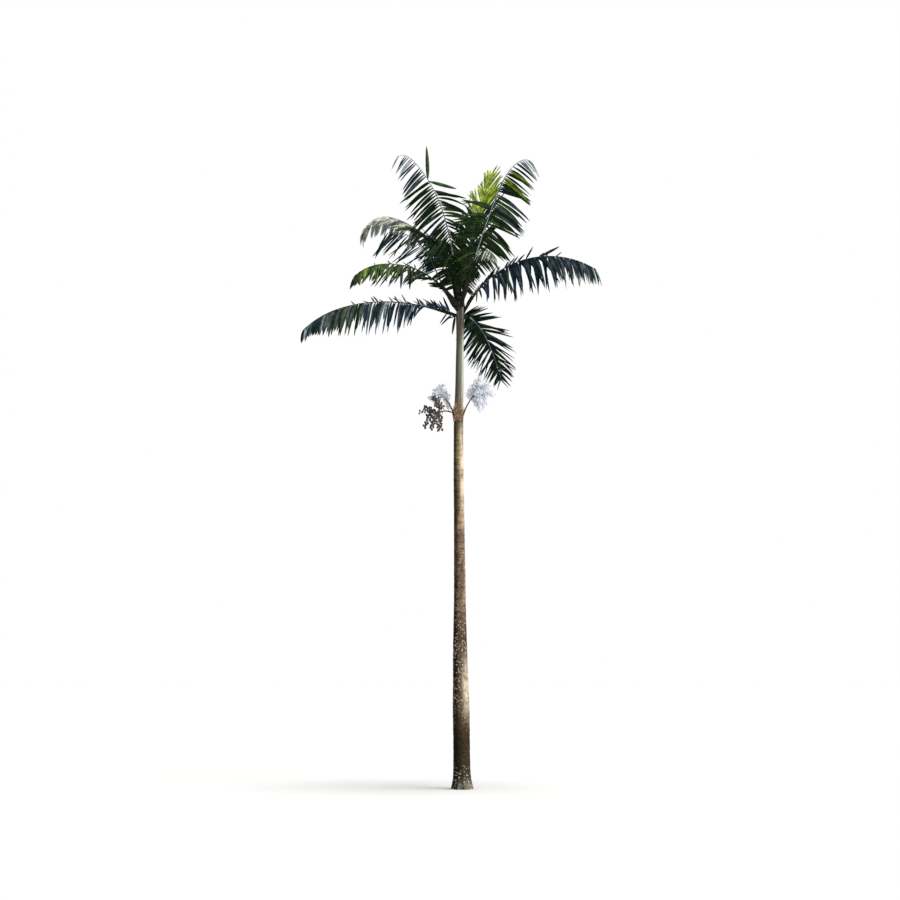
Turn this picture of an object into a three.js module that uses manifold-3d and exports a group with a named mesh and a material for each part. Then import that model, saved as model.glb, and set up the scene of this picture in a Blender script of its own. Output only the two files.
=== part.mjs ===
// A montgomery palm just under ten metres tall: a slim trunk, a smooth crownshaft, ten
// arching feather fronds, one unopened spear leaf, a fruit cluster and two flower
// panicles at the foot of the crownshaft. Millimetres, +Z up. The origin is the middle
// of the flat cut under the trunk, at ground level. +X is to the viewer's right and
// -Y is toward the viewer. A compass angle is 0 at +X and turns toward +Y.

import * as THREE from 'three';
import { mergeVertices } from 'three/addons/utils/BufferGeometryUtils.js';
import Module from 'manifold-3d';

const wasm = await Module();
wasm.setup();

// Driving dimensions
const CLEAR = 0.3;
const TRUNK_SIDES = 20;
const SHAFT_SIDES = 16;
const RING_SCAR_Z = 5700;
const SHAFT_TOP_Z = 7520;

// Height, sideways lean of the centre line, and radius
const TRUNK_PROFILE = [
  [0, 0, 158], [60, 0, 147], [130, -1, 139], [260, -3, 130], [420, -5, 126],
  [720, -8, 125], [1160, -13, 126], [1600, -20, 116], [1940, -27, 109],
  [2340, -30, 100], [2800, -31, 90], [3400, -35, 85], [4000, -40, 80.5],
  [4790, -48, 76.5], [5410, -49, 73.5], [5580, -48, 74], [5650, -48, 79],
  [RING_SCAR_Z, -47, 76],
];
const SHAFT_PROFILE = [
  [RING_SCAR_Z + CLEAR, -46, 69], [5780, -44, 68], [5900, -40, 66], [6200, -31, 65],
  [6430, -28, 63.5], [6670, -26, 59], [6900, -22, 55], [7070, -18, 52.5],
  [7250, -18, 50], [7400, -19, 49], [7460, -19, 44], [SHAFT_TOP_Z, -19, 32],
];

// Frond rib and leaflets
const RIB_STEPS = 16;
const RIB_SIDES = 5;
const PETIOLE_HALF_WIDTH = 19;
const PETIOLE_HALF_DEPTH = 15;
const BITE = 22;
const RIB_TIP_RADIUS = 4.5;
const LAST_LEAFLET = 0.985;
const LEAFLET_GAP = 106;
const LEAFLET_WIDTH = 80;
const LEAFLET_THICKNESS = 7.5;
const LEAFLET_WIDEST = 0.42;
const ROOT_ROOM = 0.008;
const HUG_SPREAD = 6;
const BASE_SPREAD = 45;

// turn: compass angle; seat: height where the petiole meets the crownshaft; length: of
// the rib; roll: of the blade about its rib; lift: the rib's angle above level at even
// stations; spread: angle between leaflet and rib at the base and the tip; sag: how far
// the leaflets of the two sides start below level, and limp: how much further at the
// base; droop: how much more they bend down along their length; kick: how far the lowest
// ones point up instead, and kickEnds: the share of the blade where that ends; hug: the
// share of the blade up to which they lie along the rib; leaf: longest leaflet; taper:
// how much shorter they are at the tip;
// short: the share of the blade up to which they stay short; first: the share of the rib
// where they start; sides: the share of the blade that each side covers; split: where an
// arching frond is divided, as a share of its rib, or 0; strays: single leaflets as
// [place on the rib, compass angle, lift, length].
const PLAIN_FROND = {
  roll: 0, limp: 0, kick: 0, kickEnds: 0.2, hug: 0, taper: 0.62, short: 0, first: 0.13,
  sides: [[0, 1], [0, 1]], split: 0, strays: [],
};
const FRONDS = [
  {
    name: 'frond_1', turn: 224, seat: 7450, length: 2720, roll: 20,
    lift: [86, 82, 78, 72, 66, 54, 42, 26, -40], spread: [85, 66], sag: [0.6, 0.6],
    droop: 0.4, limp: 0.8, leaf: 660, short: 0.4, sides: [[0, 0.6], [0, 1]],
    strays: [[0.725, 110, 86, 560], [0.715, 345, -20, 480], [0.655, 340, -22, 440]],
  },
  {
    name: 'frond_2', turn: 315, seat: 7460, length: 2700, roll: -20,
    lift: [68, 66, 65, 63, 62, 61, 46, 12, -60], spread: [85, 55], sag: [0.45, 0.3],
    droop: 0.5, limp: 0.3, leaf: 680, short: 0.3, sides: [[0, 1], [0, 0.5]],
  },
  {
    name: 'frond_3', turn: 168, seat: 7440, length: 2600,
    lift: [80, 78, 72, 50, 38, 32, 16, -36, -90], spread: [78, 50], sag: [0.5, 0.5],
    droop: 0.7, leaf: 560, taper: 0.45, hug: 0.62, split: 0.62,
  },
  {
    name: 'frond_4', turn: 216, seat: 7305, length: 2160, lift: [54, 32, 5, -14, -44],
    spread: [75, 40], sag: [0.6, 0.6], droop: 1.0, leaf: 500, taper: 0.45, first: 0.07,
    short: 0.5, split: 0.5,
  },
  {
    name: 'frond_5', turn: 184, seat: 7215, length: 2560, lift: [18, 11, -3, -20, -46],
    spread: [80, 40], sag: [1.0, 1.0], droop: 1.8, kick: 1.2, kickEnds: 0.3, leaf: 580,
    taper: 0.6, first: 0.06,
  },
  {
    name: 'frond_6', turn: 10, seat: 7265, length: 2600, lift: [65, 45, 22, -3, -30],
    spread: [80, 40], sag: [1.0, 1.0], droop: 1.8, kick: 0.9, leaf: 660, taper: 0.5,
    first: 0.06, short: 0.42, split: 0.5, strays: [[0.54, 20, 60, 260], [0.63, 10, 30, 380]],
  },
  {
    name: 'frond_7', turn: 52, seat: 7235, length: 1460, roll: -25,
    lift: [14, -25, -47, -58, -66], spread: [76, 46], sag: [0.1, 0.4], droop: 0.2,
    kick: 0.6, leaf: 570, first: 0.06, split: 0.3, strays: [[0.04, 60, 84, 220]],
  },
  {
    name: 'frond_8', turn: 50, seat: 7455, length: 2380, lift: [79, 76, 72, 68, 66],
    spread: [55, 26], sag: [0, 0], droop: 0.15, leaf: 700,
  },
  {
    name: 'frond_9', turn: 108, seat: 7400, length: 2500, lift: [82, 68, 42, 4, -40],
    spread: [75, 40], sag: [0.3, 0.3], droop: 1.0, leaf: 600, split: 0.55,
  },
  {
    name: 'frond_10', turn: 292, seat: 7350, length: 1560, lift: [70, 52, 28, -6, -40],
    spread: [75, 40], sag: [0.5, 0.5], droop: 1.0, leaf: 420, first: 0.3, split: 0.55,
  },
  {
    name: 'frond_11', turn: 194, seat: 7365, length: 1720, roll: 35,
    lift: [50, 54, 60, 67, 62, 50, 32, 6, -16], spread: [80, 40], sag: [0.3, 0.3],
    droop: 0.3, leaf: 600, taper: 0.1, first: 0.36, sides: [[0, 0.35], [0, 1]], split: 0.6,
  },
].map((frond) => ({ ...PLAIN_FROND, ...frond }));

// The unopened leaf stands on the crownshaft and leans a little to the right
const SPEAR = { turn: 10, lift: [90, 86, 83, 82, 82], length: 1780, radius: 15 };

// Flowers and fruit hang from the trunk just under the crownshaft.
// turn, height and lift of the stalk, its length, and the twigs that fan from it
const FRUIT = {
  name: 'fruit_cluster', turn: 200, seat: 5665, lift: [24, 10, -6, -18, -28],
  stalk: 320, twigs: 12, twigLength: 300, twigLift: [66, -78], twigFan: 62, fruits: 4,
  fruitRadius: 21, twigRadius: 6, seed: 11,
};
const PANICLES = [
  {
    name: 'flower_panicle_left', turn: 150, seat: 5640, lift: [72, 62, 54, 46, 40],
    stalk: 500, twigs: 12, twigLength: 210, twigLift: [88, -30], twigFan: 80,
    twigRadius: 4.5, side: 2, seed: 5,
  },
  {
    name: 'flower_panicle_right', turn: 355, seat: 5640, lift: [74, 66, 58, 48, 36],
    stalk: 460, twigs: 14, twigLength: 270, twigLift: [88, -42], twigFan: 75,
    twigRadius: 4.5, side: 2, seed: 8,
  },
];
const STALK_RADIUS = 13;

const COLOURS = {
  trunk: 0x8a8276, shaft: 0x7f8a72, young: 0x8fa83a, frond: 0x2c4630, pale: 0xcfc8c4,
  fruit: 0x4c4438,
};

// Small helpers
const radians = THREE.MathUtils.degToRad;
const mix = (from, to, share) => from + (to - from) * share;
const clamp01 = (value) => Math.min(1, Math.max(0, value));
const DOWN = new THREE.Vector3(0, 0, -1);
const AWAY = new THREE.Vector3(0, 1, 0);

function randomFrom(seed) {
  let state = seed;
  return () => {
    state = (state * 1664525 + 1013904223) % 4294967296;
    return state / 4294967296;
  };
}

// Value of a list of even stations at a share from 0 to 1
function atShare(stations, share) {
  const place = clamp01(share) * (stations.length - 1);
  const low = Math.min(Math.floor(place), stations.length - 2);
  return mix(stations[low], stations[low + 1], place - low);
}

// Lean and radius of a profile at a height
function atHeight(profile, height) {
  let row = 0;
  while (row < profile.length - 2 && profile[row + 1][0] < height) row += 1;
  const [lowZ, lowLean, lowRadius] = profile[row];
  const [highZ, highLean, highRadius] = profile[row + 1];
  const share = clamp01((height - lowZ) / (highZ - lowZ));
  return { lean: mix(lowLean, highLean, share), radius: mix(lowRadius, highRadius, share) };
}

function heading(turn, lift) {
  const flat = Math.cos(radians(lift));
  return new THREE.Vector3(
    flat * Math.cos(radians(turn)), flat * Math.sin(radians(turn)), Math.sin(radians(lift)),
  );
}

// A closed geometry as a solid that can be joined and cut
function solidFrom(geometry) {
  const bare = geometry.clone();
  bare.deleteAttribute('normal');
  bare.deleteAttribute('uv');
  const merged = mergeVertices(bare, 1e-3);
  const vertProperties = new Float32Array(merged.attributes.position.array);
  const triVerts = new Uint32Array(merged.index.array);
  return new wasm.Manifold(new wasm.Mesh({ numProp: 3, vertProperties, triVerts }));
}

function geometryFrom(solid) {
  const mesh = solid.getMesh();
  const geometry = new THREE.BufferGeometry();
  const points = new THREE.BufferAttribute(new Float32Array(mesh.vertProperties), 3);
  geometry.setAttribute('position', points);
  geometry.setIndex(new THREE.BufferAttribute(new Uint32Array(mesh.triVerts), 1));
  geometry.computeVertexNormals();
  return geometry;
}

const join = (solids) => solids.reduce((whole, piece) => whole.add(piece));

function boxOf(solid) {
  const { min, max } = solid.boundingBox();
  return new THREE.Box3(new THREE.Vector3(...min), new THREE.Vector3(...max));
}

const touches = (one, two) => (
  one.box.intersectsBox(two.box) && one.solid.intersect(two.solid).volume() > 0
);

// A round body turned from a profile, whose centre line follows the lean
function turned(profile, sides, grow) {
  const first = profile[0];
  const last = profile[profile.length - 1];
  const outline = [new THREE.Vector2(0, first[0] - grow)];
  profile.forEach(([height, , radius], row) => {
    const end = row === 0 ? -grow : (row === profile.length - 1 ? grow : 0);
    outline.push(new THREE.Vector2(radius + grow, height + end));
  });
  outline.push(new THREE.Vector2(0, last[0] + grow));
  const geometry = new THREE.LatheGeometry(outline, sides);
  geometry.rotateX(Math.PI / 2);
  const points = geometry.attributes.position;
  for (let i = 0; i < points.count; i += 1) {
    points.setX(i, points.getX(i) + atHeight(profile, points.getZ(i)).lean);
  }
  return geometry;
}

// Centre line of a rib, stalk or twig, with its heading, side and top at each step
function grow(start, turn, lift, length, steps, roll) {
  const line = [];
  const point = start.clone();
  let before = null;
  for (let i = 0; i <= steps; i += 1) {
    const share = i / steps;
    const ahead = heading(turn, atShare(lift, share));
    if (before) point.addScaledVector(before.clone().add(ahead), length / steps / 2);
    before = ahead;
    const level = new THREE.Vector3(-Math.sin(radians(turn)), Math.cos(radians(turn)), 0);
    const above = ahead.clone().cross(level);
    const side = level.clone().multiplyScalar(Math.cos(radians(roll)))
      .addScaledVector(above, Math.sin(radians(roll)));
    const top = above.clone().multiplyScalar(Math.cos(radians(roll)))
      .addScaledVector(level, -Math.sin(radians(roll)));
    line.push({ share, point: point.clone(), ahead, side, top });
  }
  return line;
}

function alongLine(line, share) {
  const place = clamp01(share) * (line.length - 1);
  const low = Math.min(Math.floor(place), line.length - 2);
  const part = place - low;
  const pick = (key) => line[low][key].clone().lerp(line[low + 1][key], part);
  return {
    point: pick('point'),
    ahead: pick('ahead').normalize(),
    side: pick('side').normalize(),
    top: pick('top').normalize(),
  };
}

// A tapering rod along a centre line. size gives half width and half depth at a share.
function rod(line, sides, size) {
  const geometry = new THREE.CylinderGeometry(1, 1, 1, sides, line.length - 1);
  const points = geometry.attributes.position;
  for (let i = 0; i < points.count; i += 1) {
    const step = line[Math.round((0.5 + points.getY(i)) * (line.length - 1))];
    const [halfWidth, halfDepth] = size(step.share);
    const place = step.point.clone()
      .addScaledVector(step.side, -points.getX(i) * halfWidth)
      .addScaledVector(step.top, points.getZ(i) * halfDepth);
    points.setXYZ(i, place.x, place.y, place.z);
  }
  return solidFrom(geometry);
}

// One leaflet: eight faces, pointed at both ends, thickest and widest at the middle
const BLADE = mergeVertices((() => {
  const geometry = new THREE.OctahedronGeometry(1);
  geometry.deleteAttribute('normal');
  geometry.deleteAttribute('uv');
  return geometry;
})(), 1e-3);

function blade(root, middle, tip, across, width, thickness) {
  const ahead = tip.clone().sub(root).normalize();
  const wide = across.clone().addScaledVector(ahead, -across.dot(ahead)).normalize();
  const thick = ahead.clone().cross(wide);
  const points = BLADE.attributes.position;
  const placed = new Float32Array(points.count * 3);
  for (let i = 0; i < points.count; i += 1) {
    const along = points.getX(i);
    const place = (Math.abs(along) > 0.5 ? (along > 0 ? tip : root) : middle).clone();
    place.addScaledVector(wide, points.getY(i) * width / 2);
    place.addScaledVector(thick, points.getZ(i) * thickness / 2);
    place.toArray(placed, i * 3);
  }
  const triVerts = new Uint32Array(BLADE.index.array);
  return new wasm.Manifold(new wasm.Mesh({ numProp: 3, vertProperties: placed, triVerts }));
}

// The bent course of one leaflet: its root, its widest place and its tip
function leafletCourse(root, start, droop, length) {
  const steps = 8;
  const point = root.clone();
  let middle = root.clone();
  for (let i = 0; i < steps; i += 1) {
    const ahead = start.clone().addScaledVector(DOWN, droop * (i + 0.5) / steps).normalize();
    point.addScaledVector(ahead, length / steps);
    if ((i + 1) / steps <= LEAFLET_WIDEST + 0.05) middle = point.clone();
  }
  return { middle, tip: point };
}

const leafletLength = (frond, share) => frond.leaf
  * (0.55 + 0.45 * clamp01(share / 0.25))
  * (1 - frond.taper * clamp01((share - 0.55) / 0.45) ** 1.3)
  * (share < frond.short ? 0.35 + 0.65 * share / frond.short : 1);

// Where a frond's rib starts: it bites into the crownshaft, deeper the flatter it
// leaves, and the crownshaft's room is cut out of it
function seatOf(frond) {
  const { lean, radius } = atHeight(SHAFT_PROFILE, frond.seat);
  const steep = Math.sin(radians(frond.lift[0]));
  const flat = Math.cos(radians(frond.lift[0]));
  const reach = radius + steep * PETIOLE_HALF_DEPTH * 0.5 - flat * BITE;
  const out = heading(frond.turn, 0).multiplyScalar(reach);
  return out.add(new THREE.Vector3(lean, 0, frond.seat));
}

function ribSize(share) {
  const slim = share ** 0.75;
  return [
    mix(PETIOLE_HALF_WIDTH, RIB_TIP_RADIUS, slim), mix(PETIOLE_HALF_DEPTH, RIB_TIP_RADIUS, slim),
  ];
}

// Leaflets of one part of a frond, between two places on its rib, that keep clear of
// everything in others. None is rooted across the place where the frond is divided.
function leafletsOf(frond, line, from, to, others) {
  const kept = [];
  const pairs = Math.round(frond.length * (LAST_LEAFLET - frond.first) / LEAFLET_GAP) + 1;
  const gap = (LAST_LEAFLET - frond.first) / (pairs - 1);
  const inside = (along) => along >= from && along < to;
  const rooted = (along) => Math.min(Math.max(along, from + ROOT_ROOM), to - ROOT_ROOM);
  const tries = [1, 1.5, 0.6, 2.2, 0.2];

  function place(root, start, across, droop, length, width) {
    const thickness = Math.max(LEAFLET_THICKNESS, length / 95);
    for (const effort of tries) {
      const { middle, tip } = leafletCourse(root, start, droop * effort, length);
      const loose = blade(root, middle, tip, across, width + 3, thickness + 3);
      const body = { solid: loose, box: boxOf(loose) };
      if (!others.some((other) => touches(body, other)) && tip.z > 0) {
        kept.push({ body, solid: blade(root, middle, tip, across, width, thickness) });
        return;
      }
    }
  }

  for (let i = 0; i < pairs; i += 1) {
    const along = frond.first + gap * i;
    if (!inside(along)) continue;
    const share = i / (pairs - 1);
    const { point, ahead, side } = alongLine(line, rooted(along));
    const length = leafletLength(frond, share);
    [1, -1].forEach((hand, which) => {
      const [low, high] = frond.sides[which];
      if (share < low || share > high) return;
      const kick = frond.kick * (1 - clamp01(share / frond.kickEnds));
      const hug = frond.hug ? clamp01(share / frond.hug) : 1;
      const hang = frond.sag[which] + frond.limp * clamp01(1 - 2 * share);
      const sag = mix(hang, -0.8, kick) * hug;
      const open = mix(mix(frond.spread[0], frond.spread[1], share), BASE_SPREAD, kick);
      const spread = radians(mix(HUG_SPREAD, open, hug));
      const room = gap * frond.length * Math.sin(spread) * 0.86;
      const start = ahead.clone().multiplyScalar(Math.cos(spread))
        .addScaledVector(side, hand * Math.sin(spread))
        .addScaledVector(DOWN, sag).normalize();
      const bend = frond.droop * hug * Math.max(0, 1 - kick);
      place(point, start, ahead, bend, length * (1 - 0.1 * kick), Math.min(LEAFLET_WIDTH, room));
    });
  }
  for (const [along, turn, lift, length] of frond.strays.filter(([along]) => inside(along))) {
    const start = heading(turn, lift);
    const across = start.clone().cross(AWAY);
    place(alongLine(line, along).point, start, across, 0.05, length, LEAFLET_WIDTH * 0.8);
  }
  return kept;
}

// One twig of a spray with its fruit or twiglets. swell makes a thicker copy for tests.
function twigOf(plan, line, i, ends, swell) {
  const random = randomFrom(plan.seed * 100 + i);
  const share = i / (plan.twigs - 1);
  const { point } = alongLine(line, mix(0.5, 1, ((i * 5) % plan.twigs) / (plan.twigs - 1)));
  const lift = mix(plan.twigLift[0], plan.twigLift[1], share);
  const turn = plan.turn + plan.twigFan * Math.sin(i * 2.4);
  const length = plan.twigLength * (0.75 + 0.35 * random());
  const bent = [lift, lift - 6, lift - 14, lift - 24, lift - 36];
  const twig = grow(point, turn, bent, length, 2, 0);
  const stem = rod(twig, 3, (part) => {
    const thick = mix(plan.twigRadius, plan.twigRadius * 0.6, part) + swell;
    return [thick, thick];
  });
  return [stem, ...ends(plan, twig, random, swell)];
}

function hangFruit(plan, twig, random, swell) {
  const fruits = [];
  for (let k = 0; k < plan.fruits; k += 1) {
    const { point, side, top } = alongLine(twig, mix(0.3, 1, k / (plan.fruits - 1)));
    const swing = k * 2.4 + random() * 0.8;
    const radius = plan.fruitRadius * mix(0.85, 1.1, random());
    const fruit = new THREE.IcosahedronGeometry(radius + swell, 0);
    fruit.scale(0.9, 0.9, 1.15);
    const off = side.clone().multiplyScalar(Math.cos(swing)).addScaledVector(top, Math.sin(swing));
    const at = point.clone().addScaledVector(off, plan.fruitRadius * 0.75);
    fruit.translate(at.x, at.y, at.z);
    fruits.push(solidFrom(fruit));
  }
  return fruits;
}

function fanTwiglets(plan, twig, random, swell) {
  const twiglets = [];
  for (let k = 0; k < plan.side; k += 1) {
    const { point, ahead, side, top } = alongLine(twig, mix(0.25, 0.8, k / plan.side));
    const swing = k * 2.4 + random() * 2;
    const away = ahead.clone().addScaledVector(side, Math.cos(swing) * 0.7)
      .addScaledVector(top, Math.sin(swing) * 0.7).normalize();
    const length = plan.twigLength * mix(0.35, 0.55, random());
    const turn = THREE.MathUtils.radToDeg(Math.atan2(away.y, away.x));
    const lift = THREE.MathUtils.radToDeg(Math.asin(away.z));
    const line = grow(point, turn, [lift, lift - 5, lift - 12, lift - 20, lift - 30], length, 2, 0);
    const thick = plan.twigRadius * 0.6 + swell;
    twiglets.push(rod(line, 3, () => [thick, thick]));
  }
  return twiglets;
}

// Stalk with the twigs that fan from it and keep clear of everything in others
function spray(plan, ends, others) {
  const { lean, radius } = atHeight(TRUNK_PROFILE, plan.seat);
  const out = heading(plan.turn, 0).multiplyScalar(radius - 6);
  const start = out.add(new THREE.Vector3(lean, 0, plan.seat));
  const line = grow(start, plan.turn, plan.lift, plan.stalk, 6, 0);
  const pieces = [rod(line, 6, (share) => {
    const thick = mix(STALK_RADIUS, plan.twigRadius * 1.3, share);
    return [thick, thick];
  })];
  for (let i = 0; i < plan.twigs; i += 1) {
    const room = twigOf(plan, line, i, ends, 1.5).map((solid) => ({ solid, box: boxOf(solid) }));
    if (!room.some((piece) => others.some((other) => touches(piece, other)))) {
      pieces.push(...twigOf(plan, line, i, ends, 0));
    }
  }
  return pieces;
}

// Bodies
const palm = new THREE.Group();

function addNode(name, geometry, color, roughness) {
  const material = new THREE.MeshStandardMaterial({ color, roughness, metalness: 0 });
  const mesh = new THREE.Mesh(geometry, material);
  mesh.name = name;
  palm.add(mesh);
}

const trunk = solidFrom(turned(TRUNK_PROFILE, TRUNK_SIDES, 0));
const trunkRoom = solidFrom(turned(TRUNK_PROFILE, TRUNK_SIDES, CLEAR));
const shaft = solidFrom(turned(SHAFT_PROFILE, SHAFT_SIDES, 0));
const shaftRoom = solidFrom(turned(SHAFT_PROFILE, SHAFT_SIDES, CLEAR));
addNode('trunk', geometryFrom(trunk), COLOURS.trunk, 0.9);
addNode('crownshaft', geometryFrom(shaft), COLOURS.shaft, 0.55);

const bodies = [{ owner: 'trunk', solid: trunk }, { owner: 'crownshaft', solid: shaft }];

const spearFoot = new THREE.Vector3(atHeight(SHAFT_PROFILE, SHAFT_TOP_Z).lean, 0, SHAFT_TOP_Z + CLEAR);
const spearLine = grow(spearFoot, SPEAR.turn, SPEAR.lift, SPEAR.length, 10, 0);
const spear = rod(spearLine, 8, (share) => {
  const thick = mix(SPEAR.radius, 3, share ** 1.6) + 6 * Math.sin(Math.PI * clamp01(share * 1.2));
  return [thick, thick];
});
addNode('spear_leaf', geometryFrom(spear), COLOURS.young, 0.6);
bodies.push({ owner: 'spear_leaf', solid: spear });

// The largest closed piece, without any loose scrap that a cut left
function largest(solid) {
  return solid.decompose().reduce((best, piece) => (piece.volume() > best.volume() ? piece : best));
}

function addSpray(plan, ends, color) {
  bodies.forEach((body) => { body.box = boxOf(body.solid); });
  const whole = largest(join(spray(plan, ends, bodies)).subtract(trunkRoom).subtract(shaftRoom));
  addNode(plan.name, geometryFrom(whole), color, 0.8);
  bodies.push({ owner: plan.name, solid: whole });
}
addSpray(FRUIT, hangFruit, COLOURS.fruit);
PANICLES.forEach((plan) => addSpray(plan, fanTwiglets, COLOURS.pale));

// The parts that a frond's rib is divided into, with the places where each starts and ends
function ribParts(frond) {
  const line = grow(seatOf(frond), frond.turn, frond.lift, frond.length, RIB_STEPS, frond.roll);
  if (!frond.split) {
    const solid = largest(rod(line, RIB_SIDES, ribSize).subtract(shaftRoom));
    return [{ owner: frond.name, frond, line, solid, from: 0, to: 1 }];
  }
  const cut = Math.round(frond.split * RIB_STEPS);
  const inner = line.slice(0, cut + 1);
  const outer = line.slice(cut);
  const { point, ahead } = outer[0];
  outer[0] = { ...outer[0], point: point.clone().addScaledVector(ahead, CLEAR) };
  const share = cut / RIB_STEPS;
  return [
    {
      owner: frond.name, frond, line, from: 0, to: share,
      solid: largest(rod(inner, RIB_SIDES, ribSize).subtract(shaftRoom)),
    },
    {
      owner: `${frond.name}_end`, frond, line, from: share, to: 1,
      solid: rod(outer, RIB_SIDES, ribSize),
    },
  ];
}

const ribs = FRONDS.flatMap(ribParts);
bodies.push(...ribs);
bodies.forEach((body) => { body.box = boxOf(body.solid); });

for (const rib of ribs) {
  for (const other of bodies) {
    if (other.owner !== rib.owner && touches(rib, other)) {
      throw new Error(`${rib.owner} runs into ${other.owner}`);
    }
  }
}

for (const { owner, frond, line, solid, from, to } of ribs) {
  const others = bodies.filter((body) => body.owner !== owner);
  const kept = leafletsOf(frond, line, from, to, others);
  kept.forEach(({ body }) => bodies.push({ owner, ...body }));
  const whole = largest(join([solid, ...kept.map((leaflet) => leaflet.solid)]));
  const color = frond.name === 'frond_8' ? COLOURS.young : COLOURS.frond;
  addNode(owner, geometryFrom(whole), color, 0.6);
}

export default palm;
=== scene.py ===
"""A montgomery palm: ringed trunk, crownshaft, eleven feather fronds, an unopened spear
leaf, a fruit cluster and two flower panicles. Metres, +Z up, origin at the middle of
the trunk's foot. A compass angle is 0 at +X and turns toward +Y; -Y faces the camera.
"""
from math import asin, atan2, cos, degrees, pi, radians, sin, sqrt

import bpy
import numpy as np
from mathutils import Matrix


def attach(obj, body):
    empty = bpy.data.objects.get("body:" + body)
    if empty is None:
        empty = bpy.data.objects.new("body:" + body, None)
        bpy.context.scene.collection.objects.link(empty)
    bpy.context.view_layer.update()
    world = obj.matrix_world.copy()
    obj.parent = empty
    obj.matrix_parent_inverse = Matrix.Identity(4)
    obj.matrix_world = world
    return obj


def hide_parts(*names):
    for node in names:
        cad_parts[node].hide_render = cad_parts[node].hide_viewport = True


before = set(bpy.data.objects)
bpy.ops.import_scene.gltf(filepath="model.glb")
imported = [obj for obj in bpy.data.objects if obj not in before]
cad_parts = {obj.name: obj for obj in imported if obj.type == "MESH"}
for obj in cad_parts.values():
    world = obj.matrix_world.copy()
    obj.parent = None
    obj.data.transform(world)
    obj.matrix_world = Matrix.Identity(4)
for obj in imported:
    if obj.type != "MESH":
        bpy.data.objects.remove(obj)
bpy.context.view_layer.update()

# Camera: level with a standing viewer, tilted up, so that the foot and crown both show
CAMERA_PLACE = (-0.18, -22.0, 1.6)
CAMERA_TILT = 9.03
FOCAL_PIXELS = 1446.6
IMAGE_PIXELS = 900
SENSOR_MM = 36

# Trunk and crownshaft: height, sideways lean of the centre line, radius
TRUNK_PROFILE = (
    (0, 0, 0.158), (0.06, 0, 0.147), (0.13, -0.001, 0.139), (0.26, -0.003, 0.13),
    (0.42, -0.005, 0.126), (0.72, -0.008, 0.125), (1.16, -0.013, 0.126), (1.6, -0.02, 0.116),
    (1.94, -0.027, 0.109), (2.34, -0.03, 0.1), (2.8, -0.031, 0.09), (3.4, -0.035, 0.085),
    (4, -0.04, 0.0805), (4.79, -0.048, 0.0765), (5.41, -0.049, 0.0735), (5.58, -0.048, 0.074),
    (5.65, -0.048, 0.079), (5.7, -0.047, 0.076),
)
SHAFT_PROFILE = (
    (5.7, -0.046, 0.069), (5.78, -0.044, 0.068), (5.9, -0.04, 0.066), (6.2, -0.031, 0.065),
    (6.43, -0.028, 0.0635), (6.67, -0.026, 0.059), (6.9, -0.022, 0.055),
    (7.07, -0.018, 0.0525), (7.25, -0.018, 0.05), (7.4, -0.019, 0.049), (7.46, -0.019, 0.044),
    (7.52, -0.019, 0.032),
)
RING_SCAR_Z = 5.7
SHAFT_TOP_Z = 7.52
TRUNK_COLUMNS = 88
TRUNK_ROW_STEP = 0.009
# Uneven trunk: number of waves; tallest wave and share of the radius, of swells and dents
TRUNK_WAVES = 9
SWELL_TALL = 0.8
SWELL_SHARE = 0.01
DENT_TALL = 0.16
DENT_SHARE = 0.006
# Rings of old leaves: a groove, a lip above it and a dark stain
FIRST_RING_Z = 0.16
LAST_RING_Z = 5.6
RING_GAP = (0.065, 0.12)
RING_DEPTH = (0.6, 1.2)
RING_TILT = 0.006
GROOVE_DEPTH = 0.0032
GROOVE_WIDTH = 0.0065
LIP_HEIGHT = 0.0022
LIP_ABOVE = 0.017
LIP_WIDTH = 0.01
STAIN_WIDTH = 0.011
# Knobs at the foot, as (count, start, depth), and the swelling under the fruit stalk
FOOT_KNOBS = ((9, 1.0, 0.01), (5, 0.0, 0.008))
KNOBS_TOP_Z = 0.22
SEAT_Z = 5.655
SEAT_TURN = 195
SEAT_TALL = 0.045
SEAT_WIDE = 0.7
SEAT_SWELL = 0.02
# Crownshaft: its mesh, its unevenness, the ridges under the petioles and the lip below
SHAFT_ROWS = 190
SHAFT_COLUMNS = 64
SHAFT_SWELL = 0.01
RIDGE_WIDE = 0.33
RIDGE_HEIGHT = 0.01
RIDGE_Z = (-0.55, -0.03, 0.06)
SHAFT_LIP_Z = 5.735
SHAFT_LIP_TALL = 0.022
SHAFT_LIP = 0.005

# Frond rib and leaflets
RIB_STEPS = 64
RIB_COLUMNS = 8
PETIOLE_HALF_WIDTH = 0.019
PETIOLE_HALF_DEPTH = 0.015
RIB_TIP_RADIUS = 0.0035
BITE = 0.022
PETIOLE_SHARE = 0.13
LAST_LEAFLET = 0.992
LEAFLET_GAP = 0.042
LEAFLET_HALF_WIDTH = 0.0235
LEAFLET_STEPS = 12
STRAY_HALF_WIDTH = 0.03
FLARE_ENDS = 0.25
RIB_THINNING = 0.65
KICK_SPREAD = 45
KICK_RISE = 0.8
HUG_SPREAD = 6
# Standing leaflets: how far they point up, and their size at foot and tip of the blade
SPIKE_KICK = 0.9
SPIKE_SIZE = (0.5, 0.15)
# What chance changes: of a leaflet alone, and of a whole bunch
LOOSE = dict(place=0.15, size=0.04, sag=0.04, turn=1.5, twist=0.35, curl=0.16)
BUNCH = dict(sag=0.06, turn=3.0, droop=0.12)

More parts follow.
